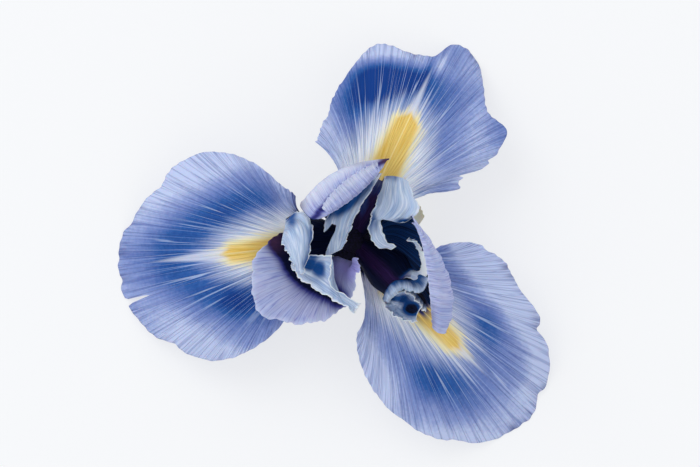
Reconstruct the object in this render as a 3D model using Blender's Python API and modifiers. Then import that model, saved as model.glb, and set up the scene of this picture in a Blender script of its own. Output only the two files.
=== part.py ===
"""A cut iris bloom, lying face up on a table.

The bloom rests on the drooping tips of its three falls and on the cut end of its ovary. Three
standards rise from the floral tube between the falls, and three style arms arch over the falls,
each forked into two crests that fold back over the middle. Lengths are in millimetres until MM.
"""

import math

import bmesh
import bpy
import numpy as np

MM = 0.001

# Driving sizes of the flower
TEPAL_THICK = 0.7
SPATHE_THICK = 0.6
OVARY_RADIUS = 3.4
OVARY_LENGTH = 8.0
TUBE_BOTTOM = OVARY_LENGTH + 0.3
TUBE_RADIUS = 6.4
TUBE_TOP = 11.2
COLUMN_TOP = 13.2
SEAT = TUBE_TOP + 0.65
SEAT_RADIUS = 5.0

# Directions, in degrees round from +X, that the three falls point in
TOP, LEFT, RIGHT = 64.9, 186.3, -45.3

# Each fall: how far round from its midrib its two corners lie, in degrees, how far its blade reaches
# from the throat at even steps between them, and the height of its midrib from the tube to the tip
FALLS = {
    "fall_top": (
        TOP,
        (-74, 80),
        (16.5, 23.5, 31, 34, 36, 40.9, 36.5, 34.3, 34, 28.6, 24, 20.8, 15.5),
        (SEAT, 17.4, 20.8, 19.5, 13, -1),
    ),
    "fall_left": (
        LEFT,
        (-100, 80),
        (12.6, 16, 24, 31.5, 35.7, 38.2, 42.7, 44.3, 42.8, 38.5, 34.3, 26, 17),
        (SEAT, 17.6, 20.6, 18, 10, -1),
    ),
    "fall_right": (
        RIGHT,
        (-81, 84),
        (16.5, 22, 28.4, 35.3, 42, 46.6, 48, 44.5, 37.5, 31.2, 28, 23, 14.5),
        (SEAT, 17.6, 20.6, 18, 10, -1),
    ),
}
FALL_THROAT = 15.0
FALL_BASE = 2.4
FALL_SAG = 0.009

# The third standard has opened outwards like a shell, so it is a fan too: the direction of its
# middle vein, the throat that its veins leave from, and its reach and heights as above
SHELL_AZIMUTH = 251.0
SHELL_THROAT = (-5.5, -2.5)
SHELL_LIMITS = (-93, 93)
SHELL_REACH = (12, 15.8, 19.4, 21.2, 23.6, 21.5, 19.4, 17.3, 14.8, 12.5, 9.3, 8.7, 7)
SHELL_HEIGHTS = (SEAT, 14.6, 18.8, 22.6, 25.5)
SHELL_BASE = 1.8

# The two upright standards: their edges from tube to rim, and how far they bulge outwards between
STANDARD_BACK = {
    "left": (
        (-4.3, 3.1, SEAT), (-7.6, 6.4, 20), (-10.5, 8.6, 28), (-12.2, 9.6, 36),
        (-12.8, 8.4, 42), (-11.4, 6.2, 46), (-9.6, 5.2, 47), (-7.1, 7.1, 45.5),
    ),
    "right": (
        (-1.4, 5.1, SEAT), (-2, 9.6, 20), (-1.2, 16, 28), (4.2, 18.9, 35),
        (8.8, 20, 42), (8.4, 19.9, 45.5), (7.8, 19.1, 47), (7.2, 17.9, 46.8),
    ),
    "bow": (0.3, 1.0, 1.8, 2.3, 2.4, 2.0, 1.5, -0.8),
}
STANDARD_SIDE = {
    "left": (
        (4.6, 2.6, SEAT), (10, 4.6, 20), (13.8, 5.2, 29), (15, 4.8, 37),
        (15.4, 4.4, 44), (15.3, 4.2, 49), (14.8, 4.2, 50),
    ),
    "right": (
        (5.2, -0.9, SEAT), (11.5, -5, 20), (18, -14, 29), (21.5, -21, 37),
        (22, -23.3, 44), (21, -22.8, 49), (19.9, -21.7, 50),
    ),
    "bow": (0.3, 0.8, 2.5, 4.8, 5.5, 3.8, 1.6),
}

# The roof of a style arm, the same on all three: distance out, height of its keel, half width and
# how far its sides hang below the keel
ROOF = ((2.7, 14.2, 1.4, 0.3), (7, 19.6, 2.8, 0.8), (11.5, 24.6, 3.8, 1.2), (15.3, 28.4, 4.4, 1.0))
KEEL_HALF = 1 / 9
FORK = 1 / 3

# The crests beyond the roof: the outer margin and the slit side of the counterclockwise crest, then
# the slit side and the outer margin of the clockwise one, and how far each crest bulges from its
# roof to its tip
STYLE_ARMS = {
    "style_arm_top": (
        TOP,
        (
            (1.5, 16.5, 30), (-2.4, 12.6, 33), (-5, 8.8, 34.5), (-6.6, 4.6, 34.5),
            (-6.9, 1, 33.8), (-6.7, -1.6, 33), (-6.2, -3.9, 32),
        ),
        (
            (7.3, 16.4, 31.5), (5, 12.6, 35), (2.6, 9, 36), (0.9, 5.8, 36),
            (-0.3, 2.8, 35.5), (-1.3, 0.4, 34.5), (-2.2, -2, 33.5),
        ),
        (
            (8.2, 15.8, 31.5), (7, 12.1, 35), (5.8, 9, 36.5), (4.7, 6, 37.5),
            (4.2, 3.2, 38), (5.2, -0.8, 38.5), (9.6, -2.5, 38.5),
        ),
        (
            (13.6, 14.8, 30.5), (14.7, 11.8, 33.5), (14.9, 8, 35.5), (10.4, 5.7, 37),
            (7.6, 3.8, 38), (8.2, 0.6, 38.8), (10.9, -1.8, 39),
        ),
        ((0.5, -1, -1, -0.8, -0.3), (-0.5, 1.4, 1, 0.3, 0.2)),
    ),
    "style_arm_left": (
        LEFT,
        (
            (-15.2, -6.3, 30), (-14.6, -7.6, 33), (-12.6, -9.9, 35), (-9.5, -11.9, 36),
            (-5.9, -14.2, 36.5), (-2.4, -16.1, 36.3), (0.7, -18.2, 35.8),
        ),
        (
            (-14.5, -2.8, 33), (-11, -3.8, 35.8), (-7, -3.7, 37.8), (-5, -4.6, 38.8),
            (-5.6, -8, 39), (-4.6, -12.2, 38), (2.4, -15.7, 36.6),
        ),
        (
            (-17.3, -1.2, 31), (-17.3, -1, 33.5), (-16.9, -1.4, 35.5), (-16.2, -2.8, 37),
            (-15.3, -4.6, 38), (-14.3, -6.6, 38.6), (-13, -8.4, 38.8),
        ),
        (
            (-16.2, 5, 29.5), (-13.8, 7, 33.5), (-11.2, 6.6, 36.5), (-9.8, 3.6, 38.5),
            (-10, -0.6, 39.5), (-10.9, -4.4, 39.6), (-12.1, -8.6, 39),
        ),
        ((0.5, 1, 2.6, 2.4, 0.4), (-0.5, 0.8, 1.8, 1.2, 0.4)),
    ),
    "style_arm_right": (
        RIGHT,
        (
            (15.4, -7.6, 29.3), (16.8, -7.6, 31.5), (17.4, -6.4, 33.2), (17.2, -4.6, 34.5),
            (16.6, -2.6, 35.5), (15.6, -0.7, 36.5), (14.4, 0.8, 37.5),
        ),
        (
            (13.6, -9.4, 31.5), (16.4, -10.2, 35.5), (18.3, -9.4, 38.6), (18.8, -6.6, 40),
            (18.1, -3.5, 40.3), (16.6, -1, 40), (13.7, 0.1, 39.5),
        ),
        (
            (10.3, -12.6, 31.5), (10.6, -13.4, 33.8), (12.4, -12.9, 35), (14.2, -13.4, 35.2),
            (15.8, -14.8, 34.8), (17.2, -16.6, 34), (18.2, -18, 33.2),
        ),
        (
            (7.6, -14.6, 29), (8, -16, 31.5), (9.3, -17.8, 32.3), (11, -19, 32.5),
            (12.8, -19.8, 32.3), (14.6, -20.2, 32), (16.2, -20.3, 31.6),
        ),
        ((0.5, 0.4, 0.4, 0.4, 0.2), (-0.5, 2.8, 5.6, 5, 3.6)),
    ),
}

# A stamen lies between each fall and the style arm over it: distance out, height and radius
STAMEN = (
    (3.5, 11.7, 0.5), (3.6, 12.3, 0.5), (4.8, 13.2, 0.5), (7.5, 14.8, 0.5),
    (9, 16.0, 0.9), (12, 17.9, 1.0), (14.6, 19.4, 0.8), (15.6, 20.0, 0.4),
)

# The two spathe valves sheathe the ovary: radius, height and half the angle covered, from the cut up
SPATHE_OUTER = ((6.4, 0.4, 95), (6.6, 3.5, 98), (7.4, 6.4, 66), (11, 8.2, 30), (18, 9.4, 3))
SPATHE_INNER = ((5.0, 0.4, 88), (5.1, 3, 90), (5.6, 5.4, 60), (6.6, 7.4, 30), (8.6, 9, 4))
SPATHE_AZIMUTHS = (21.0, 200.0)


def through(knots, t):
    """The smooth (Catmull-Rom) curve through evenly spaced knots, read at t from 0 to 1."""
    knots = np.asarray(knots, float)
    last = len(knots) - 1
    place = np.clip(np.asarray(t, float), 0, 1) * last
    i = np.minimum(place.astype(int), last - 1)
    f = (place - i)[(...,) + (None,) * (knots.ndim - 1)]
    ends = np.concatenate([2 * knots[:1] - knots[1:2], knots, 2 * knots[-1:] - knots[-2:-1]])
    a, b, c, d = (ends[i + k] for k in range(4))
    return b + 0.5 * f * (c - a + f * (2 * a - 5 * b + 4 * c - d + f * (3 * (b - c) + d - a)))


def towards(turn):
    """Unit vectors in plan at the angles given."""
    return np.stack([np.cos(turn), np.sin(turn)], axis=-1)


def around(azimuth, out, left, height):
    """Points given as distance out along an azimuth, distance left of it, and height."""
    turn = math.radians(azimuth)
    plan = np.multiply.outer(out, towards(turn)) + np.multiply.outer(left, towards(turn + math.pi / 2))
    return np.concatenate([plan, np.broadcast_to(height, np.shape(out))[..., None]], axis=-1)


def fan_plan(u, v, azimuth, throat, base, corners, reach):
    """Seen from above, a fanned petal: every vein is a cubic Bezier from the tube out to the margin."""
    turn = math.radians(azimuth)
    out, left = towards(turn), towards(turn + math.pi / 2)
    length = through(reach, (u + 1) / 2)[:, None]
    way = towards(turn + np.radians(np.interp(u, (-1, 1), corners)))
    start = SEAT_RADIUS * out + np.multiply.outer(base * u, left)
    end = throat + length * way
    leave = start + np.multiply.outer(0.45 * math.hypot(*throat) * (1 - 0.25 * u * u), out)
    leave += np.multiply.outer(base * u * (0.2 + 1.6 * u * u), left)
    arrive = end - 0.45 * length * way
    w = v[:, None]
    return (
        (1 - w) ** 3 * start + 3 * w * (1 - w) ** 2 * leave + 3 * w * w * (1 - w) * arrive + w**3 * end
    )


def rest_on(height, floor, blend=1.5):
    """Heights that ease on to a floor and never go below it."""
    near = np.clip((height - floor + blend) / (2 * blend), 0, 1)
    return np.where(height > floor + blend, height, floor + blend * near * near)


def fall_shape(azimuth, corners, reach, arch):
    """A fall arches out from the tube and droops until its tip lies on the table."""

    def shape(u, v):
        axis_line = towards(math.radians(azimuth))
        plan = fan_plan(u, v, azimuth, FALL_THROAT * axis_line, FALL_BASE, corners, reach)
        out, left = plan @ axis_line, plan @ (-axis_line[1], axis_line[0])
        tip = FALL_THROAT + max(reach)
        along = (out - SEAT_RADIUS) / (tip - SEAT_RADIUS)
        channel = 0.05 * np.minimum(left * left, 60) * np.clip(1.6 - out / 11, 0, 1)
        ruffle = 0.8 * v**4 * np.sin(11 * u + azimuth)
        height = through(arch, along) - FALL_SAG * left * left + channel + ruffle
        return np.column_stack([plan, rest_on(height, TEPAL_THICK / 2)])

    return shape


def shell_shape(u, v):
    """The opened standard climbs steeply from the tube, then flares and droops at its margin."""
    plan = fan_plan(u, v, SHELL_AZIMUTH, SHELL_THROAT, SHELL_BASE, SHELL_LIMITS, SHELL_REACH)
    ruffle = 0.5 * v**3 * np.sin(13 * u)
    return np.column_stack([plan, through(SHELL_HEIGHTS, v) + ruffle])


def between(a, b, bow, t, travel):
    """A point a share t of the way along the circular arc from a to b that bulges by bow.

    The bulge is square to the straight line from a to b and to the direction of travel.
    """
    chord = b - a
    width = np.linalg.norm(chord, axis=-1)
    square = np.cross(travel, chord)
    square /= np.linalg.norm(square, axis=-1, keepdims=True)
    half = 2 * np.arctan2(2 * bow, width)
    half = np.where(np.abs(half) < 1e-4, 1e-4, half)
    turn = half * (2 * t - 1)
    radius = width / (2 * np.sin(half))
    share = 0.5 + radius * np.sin(turn) / width
    lift = radius * (np.cos(turn) - np.cos(half))
    return a + chord * share[:, None] + square * lift[:, None]


def standard_shape(edges):
    """An upright standard, between its two edges."""

    def shape(u, v):
        a, b = through(edges["left"], v), through(edges["right"], v)
        return between(a, b, through(edges["bow"], v), (u + 1) / 2, (0, 0, 1))

    return shape


def roof_rail(azimuth, side, keel):
    """One edge of a style arm's roof, on its keel or on its outer margin."""
    out, height, half, hang = np.array(ROOF).T
    left = side * half * (KEEL_HALF if keel else 1)
    return around(azimuth, out, left, height - (0 if keel else hang))


def style_shape(azimuth, outer_ccw, slit_ccw, slit_cw, outer_cw, bows):
    """A style arm: a keeled roof up to the fork, then two crests that part along the keel."""
    rails = [
        np.concatenate([roof_rail(azimuth, side, keel), crest])
        for side, keel, crest in (
            (1, False, outer_ccw), (1, True, slit_ccw), (-1, True, slit_cw), (-1, False, outer_cw),
        )
    ]

    def half_arm(slit, outer, bow, t, v):
        step = 1e-3
        travel = sum(through(rail, v + step) - through(rail, v - step) for rail in (slit, outer))
        bow = through(bow, (v - FORK) / (1 - FORK))
        return between(through(slit, v), through(outer, v), bow, t, travel)

    def shape(u, v):
        t = np.clip((np.abs(u) - KEEL_HALF) / (1 - KEEL_HALF), 0, 1)
        ccw = half_arm(rails[1], rails[0], bows[0], t, v)
        cw = half_arm(rails[2], rails[3], bows[1], t, v)
        keel = (u / KEEL_HALF + 1)[:, None] / 2
        middle = through(rails[2], v) * (1 - keel) + through(rails[1], v) * keel
        side = np.where(u[:, None] < 0, cw, ccw)
        return np.where(np.abs(u[:, None]) < KEEL_HALF - 1e-6, middle, side)

    return shape


def spathe_shape(azimuth, rings):
    """A spathe valve: a sheath that opens and narrows to a point."""

    def shape(u, v):
        radius, height, cover = through(rings, v).T
        turn = np.radians(cover) * u
        return around(azimuth, radius * np.cos(turn), radius * np.sin(turn), height)

    return shape


def finish(obj, colour, roughness=0.5):
    """Gives an object its material, smooth faces and its place in the bloom's collection."""
    material = bpy.data.materials.new(obj.name)
    material.use_nodes = True
    shader = material.node_tree.nodes["Principled BSDF"]
    shader.inputs["Base Color"].default_value = (*colour, 1)
    shader.inputs["Roughness"].default_value = roughness
    obj.data.materials.append(material)
    bloom.objects.link(obj)
    obj.parent = axis
    if obj.type == "MESH":
        obj.data.shade_smooth()


def petal(name, colour, shape, across, along, thick=TEPAL_THICK, fork=None):
    """A grid bent by shape(u, v), u from -1 to 1 across and v from 0 to 1 outwards, made solid."""
    grid = bmesh.new()
    bmesh.ops.create_grid(grid, x_segments=across, y_segments=along, size=1)
    if fork is not None:
        slit = [
            face for face in grid.faces
            if abs(face.calc_center_median().x) < KEEL_HALF / 2 and face.calc_center_median().y > 2 * fork - 1
        ]
        bmesh.ops.delete(grid, geom=slit, context="FACES")
    flat = np.array([vert.co[:2] for vert in grid.verts])
    for vert, point in zip(grid.verts, shape(flat[:, 0], (flat[:, 1] + 1) / 2) * MM):
        vert.co = point
    mesh = bpy.data.meshes.new(name)
    grid.to_mesh(mesh)
    grid.free()
    obj = bpy.data.objects.new(name, mesh)
    solidify = obj.modifiers.new("thickness", "SOLIDIFY")
    solidify.thickness = thick * MM
    solidify.offset = 0
    finish(obj, colour)


def ovary(name, colour):
    """The three-cornered ovary, cut square across: a rounded trefoil drawn up to its length."""
    outline = bpy.data.curves.new(name, "CURVE")
    outline.dimensions = "2D"
    outline.fill_mode = "BOTH"
    outline.extrude = (OVARY_LENGTH / 2 - 0.3) * MM
    outline.bevel_depth = 0.3 * MM
    outline.bevel_resolution = 1
    corners = 30
    turn = np.arange(corners) * 2 * math.pi / corners
    radius = (OVARY_RADIUS - 0.3) * (1 + 0.07 * np.cos(3 * turn))
    spline = outline.splines.new("POLY")
    spline.points.add(corners - 1)
    spline.use_cyclic_u = True
    for point, a, r in zip(spline.points, turn, radius):
        point.co = (r * math.cos(a) * MM, r * math.sin(a) * MM, 0, 1)
    obj = bpy.data.objects.new(name, outline)
    obj.location.z = OVARY_LENGTH / 2 * MM
    finish(obj, colour)


def perianth_tube(name, colour):
    """The short funnel that the petals spring from, with the style's column in its middle."""
    profile = (
        (0, COLUMN_TOP), (1.7, COLUMN_TOP), (2.0, TUBE_TOP + 0.3), (TUBE_RADIUS - 0.3, TUBE_TOP),
        (TUBE_RADIUS, TUBE_TOP - 0.4), (4.4, TUBE_BOTTOM + 0.9), (3.6, TUBE_BOTTOM), (0, TUBE_BOTTOM),
    )
    mesh = bpy.data.meshes.new(name)
    points = [(x * MM, 0, z * MM) for x, z in profile]
    mesh.from_pydata(points, [(i, i + 1) for i in range(len(points) - 1)], [])
    obj = bpy.data.objects.new(name, mesh)
    screw = obj.modifiers.new("turn", "SCREW")
    screw.steps = screw.render_steps = 30
    screw.use_merge_vertices = True
    screw.merge_threshold = 0.00001
    finish(obj, colour)


def stamen(name, colour, azimuth):
    """A stalk that swells into its anther, lying along its fall."""
    line = bpy.data.curves.new(name, "CURVE")
    line.dimensions = "3D"
    line.bevel_depth = MM
    line.bevel_resolution = 1
    line.use_fill_caps = True
    out, height, radius = np.array(STAMEN).T
    spline = line.splines.new("POLY")
    spline.points.add(len(STAMEN) - 1)
    for point, place, r in zip(spline.points, around(azimuth, out, 0 * out, height) * MM, radius):
        point.co = (*place, 1)
        point.radius = r
    finish(bpy.data.objects.new(name, line), colour)


def stand_on_origin():
    """Moves the bloom so that the middle of its box is over the origin and its lowest point at 0."""
    bpy.context.view_layer.update()
    graph = bpy.context.evaluated_depsgraph_get()
    corners = []
    for obj in bloom.objects:
        if obj.type == "EMPTY":
            continue
        evaluated = obj.evaluated_get(graph)
        mesh = evaluated.to_mesh()
        points = np.empty(len(mesh.vertices) * 3)
        mesh.vertices.foreach_get("co", points)
        place = np.array(evaluated.matrix_world.translation)
        corners += [points.reshape(-1, 3).min(axis=0) + place, points.reshape(-1, 3).max(axis=0) + place]
        evaluated.to_mesh_clear()
    low, high = np.min(corners, axis=0), np.max(corners, axis=0)
    axis.location = (-(low[0] + high[0]) / 2, -(low[1] + high[1]) / 2, -low[2])


for old in list(bpy.data.objects):
    bpy.data.objects.remove(old)
bloom = bpy.data.collections.new("iris_bloom")
bpy.context.scene.collection.children.link(bloom)
axis = bpy.data.objects.new("flower_axis", None)
bloom.objects.link(axis)

PERIWINKLE, DEEP_BLUE, PALE_BLUE = (0.22, 0.27, 0.62), (0.06, 0.07, 0.3), (0.5, 0.58, 0.8)
GREEN, TUBE_GREEN, POLLEN = (0.25, 0.36, 0.12), (0.35, 0.4, 0.3), (0.75, 0.6, 0.3)

ovary("ovary", GREEN)
perianth_tube("perianth_tube", TUBE_GREEN)
petal("spathe_outer", GREEN, spathe_shape(SPATHE_AZIMUTHS[0], SPATHE_OUTER), 12, 10, SPATHE_THICK)
petal("spathe_inner", GREEN, spathe_shape(SPATHE_AZIMUTHS[1], SPATHE_INNER), 12, 8, SPATHE_THICK)
for fall_name, fall in FALLS.items():
    petal(fall_name, PERIWINKLE, fall_shape(*fall), 24, 10)
petal("standard_shell", PERIWINKLE, shell_shape, 18, 8)
petal("standard_back", PERIWINKLE, standard_shape(STANDARD_BACK), 10, 14)
petal("standard_side", PERIWINKLE, standard_shape(STANDARD_SIDE), 10, 12)
for style_name, style in STYLE_ARMS.items():
    petal(style_name, PALE_BLUE, style_shape(*style), 9, 18, fork=FORK)
for stamen_name, stamen_azimuth in (("stamen_top", TOP), ("stamen_left", LEFT), ("stamen_right", RIGHT)):
    stamen(stamen_name, POLLEN, stamen_azimuth)
stand_on_origin()
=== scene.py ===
"""A cut iris bloom lying face up on a table, seen from straight above."""

import math

import bpy
import numpy as np
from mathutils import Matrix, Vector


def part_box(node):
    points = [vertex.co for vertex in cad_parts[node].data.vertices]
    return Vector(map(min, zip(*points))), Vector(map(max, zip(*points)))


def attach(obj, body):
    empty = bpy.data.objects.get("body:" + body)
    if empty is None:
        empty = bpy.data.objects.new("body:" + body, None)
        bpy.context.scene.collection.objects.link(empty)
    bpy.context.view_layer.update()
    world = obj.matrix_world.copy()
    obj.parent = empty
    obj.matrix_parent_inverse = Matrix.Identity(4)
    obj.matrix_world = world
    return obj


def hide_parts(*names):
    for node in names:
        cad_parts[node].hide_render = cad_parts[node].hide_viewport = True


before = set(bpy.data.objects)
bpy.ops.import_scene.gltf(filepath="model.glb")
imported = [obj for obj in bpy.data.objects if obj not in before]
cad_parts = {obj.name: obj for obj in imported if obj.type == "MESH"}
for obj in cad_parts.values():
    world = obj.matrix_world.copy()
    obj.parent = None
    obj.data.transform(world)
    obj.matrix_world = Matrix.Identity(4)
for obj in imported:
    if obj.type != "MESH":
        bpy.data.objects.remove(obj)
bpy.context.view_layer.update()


# --------------------------------------------------------------- The ovary, where the bloom was cut
# The green seed pod under the flower: three blunt corners with a groove down each side, a waxy
# skin, and a flat wet face where the knife went through it. The whole bloom stands on that face.

MM = 0.001
OVARY_RADIUS = 3.2
OVARY_LENGTH = 8.6
TOP, LEFT, RIGHT = 64.9, 186.3, -45.3  # degrees round from +X that the three falls point in

tube_low, tube_high = (np.array(corner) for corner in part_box("perianth_tube"))
AXIS = (tube_low + tube_high) / 2 * (1, 1, 0)  # the flower's upright axis, at table height


def towards(turn):
    """Unit vectors in plan at the angles given: the cosine, then the sine."""
    return np.stack([np.cos(turn), np.sin(turn)], axis=-1)


def through(knots, t):
    """The smooth curve through evenly spaced knots, read at t from 0 to 1.

    Each piece is the cubic whose slope at a knot is half the step between its neighbours.
    """
    knots = np.asarray(knots, float)
    last = len(knots) - 1
    place = np.clip(np.asarray(t, float), 0, 1) * last
    i = np.minimum(place.astype(int), last - 1)
    f = (place - i)[(...,) + (None,) * (knots.ndim - 1)]
    ends = np.concatenate([2 * knots[:1] - knots[1:2], knots, 2 * knots[-1:] - knots[-2:-1]])
    a, b, c, d = (ends[i + k] for k in range(4))
    return b + 0.5 * f * (c - a + f * (2 * a - 5 * b + 4 * c - d + f * (3 * (b - c) + d - a)))


def paint(red, green, blue):
    """A colour mixed on a scale of 0 to 255, as the linear numbers that light works in."""
    return (*(((np.array((red, green, blue)) / 255 + 0.055) / 1.055) ** 2.4).tolist(), 1.0)


class Value:
    """A number or colour inside a material; sums on it become Math nodes."""

    def __init__(self, finish, socket):
        self.finish, self.socket = finish, socket

    def math(self, operation, *terms):
        """A Math node's result for the terms given."""
        return self.finish.node("ShaderNodeMath", dict(enumerate(terms)), operation=operation)

    def __add__(self, other):
        return self.math("ADD", self, other)

    def __sub__(self, other):
        return self.math("SUBTRACT", self, other)

    def __rsub__(self, other):
        return self.math("SUBTRACT", other, self)

    def __mul__(self, other):
        return self.math("MULTIPLY", self, other)

    __radd__, __rmul__ = __add__, __mul__

    def __abs__(self):
        return self.math("ABSOLUTE", self)

    def rise(self, low, high):
        """0 up to low and 1 from high on, with an S-shaped slope between; falls if low > high."""
        sockets = {"Value": self, "From Min": low, "From Max": high}
        return self.finish.node("ShaderNodeMapRange", sockets, interpolation_type="SMOOTHSTEP")


class Finish:
    """One material, built from the values that its surface reads."""

    def __init__(self, name, constants):
        self.material = bpy.data.materials.new(name)
        self.material.use_nodes = True
        self.tree = self.material.node_tree
        self.shader = self.tree.nodes["Principled BSDF"]
        for socket, value in constants.items():
            self.shader.inputs[socket].default_value = value

    def node(self, kind, sockets, out=0, **settings):
        """Adds a node with its settings and sockets, and gives the value it puts out.

        A colour ramp's settings are its stops: the first and last, then any between them.
        """
        made = self.tree.nodes.new(kind)
        for place, colour in settings.pop("stops", {}).items():
            ramp = made.color_ramp.elements
            stop = ramp[-int(place)] if place in (0, 1) else ramp.new(place)
            stop.color = colour
        for setting, value in settings.items():
            setattr(made, setting, value)
        for socket, value in sockets.items():
            if isinstance(value, Value):
                self.tree.links.new(value.socket, made.inputs[socket])
            else:
                made.inputs[socket].default_value = value
        return Value(self, made.outputs[out])

    def place(self):
        """Where on the bloom a point lies, in metres."""
        return self.node("ShaderNodeTexCoord", {}, "Object")

    def read(self, field):
        """The three numbers of a field that the piece carries on its surface."""
        vector = self.node("ShaderNodeAttribute", {}, "Vector", attribute_name=field)
        return [self.node("ShaderNodeSeparateXYZ", {0: vector}, axis) for axis in "XYZ"]

    def noise(self, vector, stretch, detail=2.0, roughness=0.5):
        """Soft random blotches, squeezed along each direction by the stretch given."""
        vector = self.node("ShaderNodeVectorMath", {0: vector, 1: stretch}, operation="MULTIPLY")
        sockets = {"Vector": vector, "Scale": 1.0, "Detail": detail, "Roughness": roughness}
        return self.node("ShaderNodeTexNoise", sockets)

    def blend(self, share, low, high):
        """The colour a share of the way from one colour to another."""
        return self.node("ShaderNodeMix", {0: share, 6: low, 7: high}, 2, data_type="RGBA")

    def surface(self, links):
        """Feeds the shader what varies over the surface, and gives the finished material."""
        for socket, value in links.items():
            self.tree.links.new(value.socket, self.shader.inputs[socket])
        return self.material

    def bump(self, height, depth):
        """Relief of the given depth in millimetres."""
        return self.node("ShaderNodeBump", {"Height": height, "Distance": depth * MM}, "Normal")


def put(name, mesh, node, material):
    """Stands a finished mesh in the bloom in place of a node of the frame."""
    mesh.shade_smooth()
    mesh.materials.append(material)
    piece = bpy.data.objects.new(name, mesh)
    bpy.context.scene.collection.objects.link(piece)
    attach(piece, "root")
    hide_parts(node)


def loft(name, rings):
    """A closed skin over a stack of rings of points, each end closed by a flat face.

    Rings run upwards and their points anticlockwise, in millimetres from the flower's axis.
    """
    number = np.arange(rings[..., 0].size).reshape(rings.shape[:2])
    beside = np.roll(number, -1, axis=1)
    walls = np.stack([number[:-1], beside[:-1], beside[1:], number[1:]], axis=-1).reshape(-1, 4)
    faces = walls.tolist() + [number[0, ::-1].tolist(), number[-1].tolist()]
    mesh = bpy.data.meshes.new(name)
    mesh.from_pydata(rings.reshape(-1, 3) * MM + AXIS, [], faces)
    return mesh


def turned(profile, lobes, places):
    """Rings round the axis: radius times (1 + lobe) at each height, for a lobe that may vary."""
    turn = np.linspace(0, 2 * math.pi, places, endpoint=False)
    radius, height = np.array(profile, float).T
    plan = (radius[:, None] * (1 + lobes(turn)))[..., None] * towards(turn)
    return np.concatenate([plan, np.broadcast_to(height[:, None, None], (*plan.shape[:2], 1))], -1)


rise = np.linspace(0, 1, 25)
barrel = OVARY_RADIUS * (0.96 + 0.07 * np.sin(math.pi * rise))
ovary_side = np.concatenate([
    [(0.05, 0.12), (1, 0.1), (2, 0.05), (2.7, 0), (2.95, 0.05)],
    np.stack([barrel, OVARY_LENGTH * rise + 0.02], axis=1)[1:],
    [(2.6, 8.8), (0.05, 8.9)],
])
ovary_mesh = loft("ovary_pod", turned(
    ovary_side,
    lambda turn: (
        0.07 * np.cos(3 * (turn - math.radians(TOP)))
        - 0.03 * np.abs(np.cos(1.5 * turn)) ** 9
    ),
    96,
))

waxy = Finish("ovary_skin", {
    "Roughness": 0.42, "Subsurface Weight": 0.12, "Subsurface Scale": 0.001,
})
where = waxy.place()
ribs = waxy.noise(where, (2600, 2600, 120), 3)
mottle = waxy.noise(where, (500, 500, 300))
green = waxy.blend(ribs.rise(0.3, 0.7), paint(86, 118, 62), paint(136, 160, 98))
green = waxy.blend(mottle.rise(0.5, 0.75) * 0.5, green, paint(168, 186, 140))
height = waxy.node("ShaderNodeSeparateXYZ", {0: where}, "Z")
green = waxy.blend(height.rise(0.0004, 0), green, paint(196, 208, 150))
put("ovary_pod", ovary_mesh, "ovary", waxy.surface({
    "Base Color": green, "Normal": waxy.bump(ribs + mottle * 0.5, 0.06),
}))


# ----------------------------------------------------------------- The floral tube and style column
# The short green funnel that the petals spring from, flushed violet at its mouth, where that
# violet is painted near black as the shade of the flower's hollow middle, and the column of the
# style in its middle, which parts into three arms. Fleshy, and all one piece with the ovary.

tube_knots = (  # radius and height
    (0.05, 8.1), (3.3, 8.15), (3.55, 8.6), (4.1, 9.3), (5.1, 10.2), (6.0, 10.9), (6.35, 11.3),
    (6.25, 11.75), (5.6, 12.2), (4.4, 12.3), (3.0, 12.35), (2.2, 12.7), (1.95, 13.2), (2.2, 13.8),
    (2.9, 14.3), (3.1, 14.7), (2.2, 15.0), (0.05, 15.1),
)
tube_profile = through(tube_knots, np.linspace(0, 1, 90))
tube_mesh = loft("floral_tube", turned(
    np.maximum(tube_profile, (0.03, 0)),
    lambda turn: (
        0.035 * np.cos(6 * turn - math.radians(6 * TOP))
        + 0.05 * np.cos(3 * turn - math.radians(3 * TOP))
    ),
    144,
))
fleshy = Finish("tube_flesh", {
    "Roughness": 0.5, "Specular IOR Level": 0.1, "Subsurface Weight": 0.15,
    "Subsurface Scale": 0.001,
})
where = fleshy.place()
height = fleshy.node("ShaderNodeSeparateXYZ", {0: where}, "Z")
grain = fleshy.noise(where, (1800, 1800, 260), 3)
mouth = (height + grain * 0.0012).rise(0.0108, 0.0126)
flesh = fleshy.blend(grain.rise(0.35, 0.65), paint(120, 146, 92), paint(160, 178, 128))
# The mouth's own violet, painted near black as shade
violet = fleshy.blend(grain.rise(0.3, 0.7), paint(6, 6, 20), paint(26, 20, 52))
flesh = fleshy.blend(mouth, flesh, violet)
put("floral_tube", tube_mesh, "perianth_tube", fleshy.surface({
    "Base Color": flesh, "Normal": fleshy.bump(grain, 0.08),
}))


# -------------------------------------------------------------------------------- The spathe valves
# Two pointed sheaths wrapped round the ovary, which cased the bud: leaf-green and leathery at the
# foot, drying to thin straw-coloured edges and a papery tip. They grow from the stem below the cut.

# Each spathe: the direction it faces, and from foot to tip its distance out, its height, and half
# the turn that it covers, in degrees
SPATHES = {
    "spathe_outer": (
        23, ((6.4, 0.4, 95), (6.6, 3.5, 98), (7.4, 6.4, 66), (11, 8.2, 30), (19, 9.6, 5)),
    ),
    "spathe_inner": (
        200, ((5, 0.4, 88), (5.1, 3, 90), (5.6, 5.4, 60), (6.6, 7.4, 30), (8.6, 9, 4)),
    ),
}
SPATHE_THICK = 0.5


def grid(start, across, along):
    """Two arrays of parameters, u across from start to 1 and v along from 0 to 1."""
    return np.meshgrid(np.linspace(start, 1, across), np.linspace(0, 1, along), indexing="ij")


def around(azimuth, out, left, height):
    """Points given as distance out along an azimuth, distance left of it, and height."""
    turn = math.radians(azimuth)
    plan = np.multiply.outer(out, towards(turn))
    plan = plan + np.multiply.outer(left, towards(turn + math.pi / 2))
    return np.concatenate([plan, np.broadcast_to(height, np.shape(out))[..., None]], axis=-1)


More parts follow.
